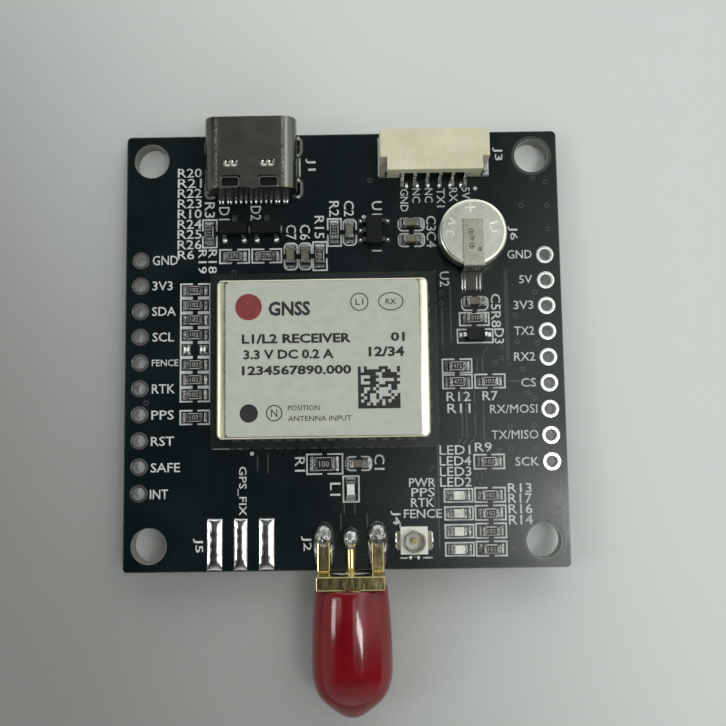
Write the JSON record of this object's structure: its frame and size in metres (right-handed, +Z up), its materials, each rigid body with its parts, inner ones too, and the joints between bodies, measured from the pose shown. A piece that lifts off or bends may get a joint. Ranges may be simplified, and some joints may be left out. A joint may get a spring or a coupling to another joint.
{
  "type": "gps module",
  "caption": "Square satellite receiver board with a shielded receiver, a data port, a cable header, a backup cell, pin rows and an edge antenna jack under a pull-off dust cap",
  "frame": {"origin": "centre of the four mounting holes, on the board's lower face", "axes": "+Z up out of the board's upper face, +Y along the board from the antenna jack to the port, +X to the right seen from above"},
  "size_m": [0.043, 0.0572, 0.0077],
  "materials": {
    "board": "satin black solder mask",
    "tin": "bright tin",
    "nickel": "dull nickel plate",
    "gold": "gold plate",
    "black_plastic": "moulded",
    "beige_plastic": "moulded",
    "white_plastic": "satin",
    "carrier": "dark laminate",
    "shield": "warm nickel silver",
    "label": "matte label",
    "cell_steel": "satin steel",
    "red_vinyl": "glossy soft vinyl",
    "white_ceramic": "alumina",
    "tan_ceramic": "fired ceramic",
    "dark_coat": "glass coat",
    "lens": "cast resin"
  },
  "bodies": {
    "module": {"circuit_board": "board", "left_header_pads": "tin", "right_header_pads": "tin", "spare_antenna_pads": "tin", "port_tube": "nickel", "port_insulator": "black_plastic", "port_contacts": "gold", "port_leg_pads": "tin", "cable_header_housing": "beige_plastic", "cable_header_pins": "tin", "cable_header_tabs": "tin", "receiver_carrier": "carrier", "receiver_lands": "tin", "receiver_shield": "shield", "shield_solder": "tin", "receiver_label": "label", "receiver_chip": "black_plastic", "receiver_oscillator": "nickel", "receiver_filters": "nickel", "cell_can": "cell_steel", "cell_gasket": "black_plastic", "cell_base": "cell_steel", "cell_top_tab": "cell_steel", "cell_bottom_tab": "cell_steel", "antenna_jack": "gold", "jack_insulator": "white_plastic", "jack_contact": "gold", "jack_solder": "tin", "coax_base": "beige_plastic", "coax_ring": "nickel", "coax_pin": "gold", "resistor_bodies": "white_ceramic", "resistor_coats": "dark_coat", "resistor_terminals": "tin", "big_resistor_body": "white_ceramic", "big_resistor_coat": "dark_coat", "big_resistor_terminals": "tin", "capacitor_bodies": "tan_ceramic", "capacitor_terminals": "tin", "coil_body": "white_ceramic", "coil_terminals": "tin", "lamp_bases": "white_plastic", "lamp_lenses": "lens", "lamp_terminals": "gold", "diode_bodies": "black_plastic", "diode_leads": "tin", "power_diode_body": "black_plastic", "power_diode_leads": "tin", "regulator_body": "black_plastic", "regulator_leads": "tin", "chip_solder": "tin", "lead_solder": "tin"},
    "cap": {"dust_cap": "red_vinyl"}
  },
  "joints": [
    {"name": "cap_pull", "type": "slide", "parent": "module", "child": "cap", "axis": [0, -1, 0], "range_m": [0, 0.03]}
  ]
}
